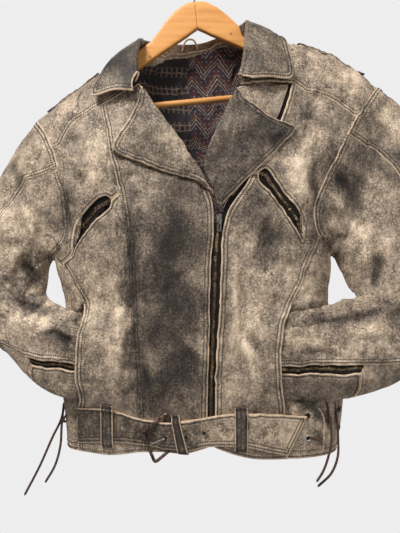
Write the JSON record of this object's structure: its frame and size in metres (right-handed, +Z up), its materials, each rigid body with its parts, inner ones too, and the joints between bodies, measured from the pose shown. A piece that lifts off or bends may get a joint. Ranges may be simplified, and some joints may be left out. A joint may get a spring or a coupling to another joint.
{
  "type": "worn leather jacket on a wooden hanger",
  "caption": "Worn zip-front leather jacket with lapels, belt, laced sides and zipped cuffs, hanging by the hook of its wooden hanger.",
  "frame": {"origin": "inside top of the hanger's hook, where it rests on a rail", "axes": "+X across the jacket, to the right of someone facing its front; +Y from its front to its back; +Z up, from hem to hook"},
  "size_m": [0.7686, 0.152, 0.8782],
  "materials": {
    "tan_grey_leather": "cracked and rubbed matt leather",
    "dark_rubbed_leather": "dark leather rubbed at its edges",
    "black_zip_tape": "woven tape",
    "antique_brass": "darkened brass",
    "dark_bronze_buckle": "dark bronze plating",
    "bright_steel": "bright nickel",
    "lacquered_pine": "clear orange lacquer",
    "printed_cotton_lining": "printed plain-weave cotton",
    "brown_lace": "round waxed lace"
  },
  "bodies": {
    "coat": {"back_panel": "tan_grey_leather", "belt_chape": "dark_rubbed_leather", "belt_keeper": "dark_rubbed_leather", "belt_loop_left": "dark_rubbed_leather", "belt_loop_right": "dark_rubbed_leather", "belt_strap": "dark_rubbed_leather", "buckle_frame": "dark_bronze_buckle", "buckle_prong": "bright_steel", "center_front_left": "tan_grey_leather", "chest_left": "tan_grey_leather", "chest_right": "tan_grey_leather", "chest_zip_left": "black_zip_tape", "chest_zip_right": "black_zip_tape", "chest_zip_slider_left": "antique_brass", "chest_zip_slider_right": "antique_brass", "collar": "tan_grey_leather", "cuff_panel_left": "tan_grey_leather", "cuff_panel_right": "tan_grey_leather", "cuff_zip_left": "black_zip_tape", "cuff_zip_right": "black_zip_tape", "epaulette_left": "dark_rubbed_leather", "epaulette_right": "dark_rubbed_leather", "forearm_left_top": "tan_grey_leather", "forearm_left_under": "tan_grey_leather", "forearm_right_top": "tan_grey_leather", "forearm_right_under": "tan_grey_leather", "front_right": "tan_grey_leather", "hang_loop": "tan_grey_leather", "hanger_arm_left": "lacquered_pine", "hanger_arm_right": "lacquered_pine", "hanger_hook": "bright_steel", "hanger_rod": "lacquered_pine", "lace_left_a": "brown_lace", "lace_left_b": "brown_lace", "lace_right_a": "brown_lace", "lace_right_b": "brown_lace", "lacing_left": "brown_lace", "lacing_right": "brown_lace", "lapel_left": "tan_grey_leather", "lapel_right": "tan_grey_leather", "lining_back": "printed_cotton_lining", "side_front_left": "tan_grey_leather", "side_panel_left": "tan_grey_leather", "side_panel_right": "tan_grey_leather", "sleeve_left_top": "tan_grey_leather", "sleeve_left_under": "tan_grey_leather", "sleeve_right_top": "tan_grey_leather", "sleeve_right_under": "tan_grey_leather", "underlap_right": "tan_grey_leather", "yoke_left": "tan_grey_leather", "yoke_right": "tan_grey_leather", "zip_chain": "antique_brass", "zip_slider": "antique_brass", "zip_tape_left": "black_zip_tape", "zip_tape_right": "black_zip_tape"},
    "main_pull": {"zip_pull": "antique_brass"},
    "chest_pull_left": {"chest_zip_pull_left": "antique_brass"},
    "chest_pull_right": {"chest_zip_pull_right": "antique_brass"}
  },
  "joints": [
    {"name": "main_pull_swing", "type": "hinge", "parent": "coat", "child": "main_pull", "pos_m": [0.0372, -0.08803, -0.43001], "axis": [-0.9998, -0.0222, 0], "range_deg": [0, 150]},
    {"name": "chest_pull_left_swing", "type": "hinge", "parent": "coat", "child": "chest_pull_left", "pos_m": [-0.13594, -0.08125, -0.40801], "axis": [-0.4464, 0.0583, 0.8929], "range_deg": [0, 150]},
    {"name": "chest_pull_right_swing", "type": "hinge", "parent": "coat", "child": "chest_pull_right", "pos_m": [0.10822, -0.08476, -0.36699], "axis": [-0.8654, -0.0615, -0.4973], "range_deg": [0, 150]}
  ]
}
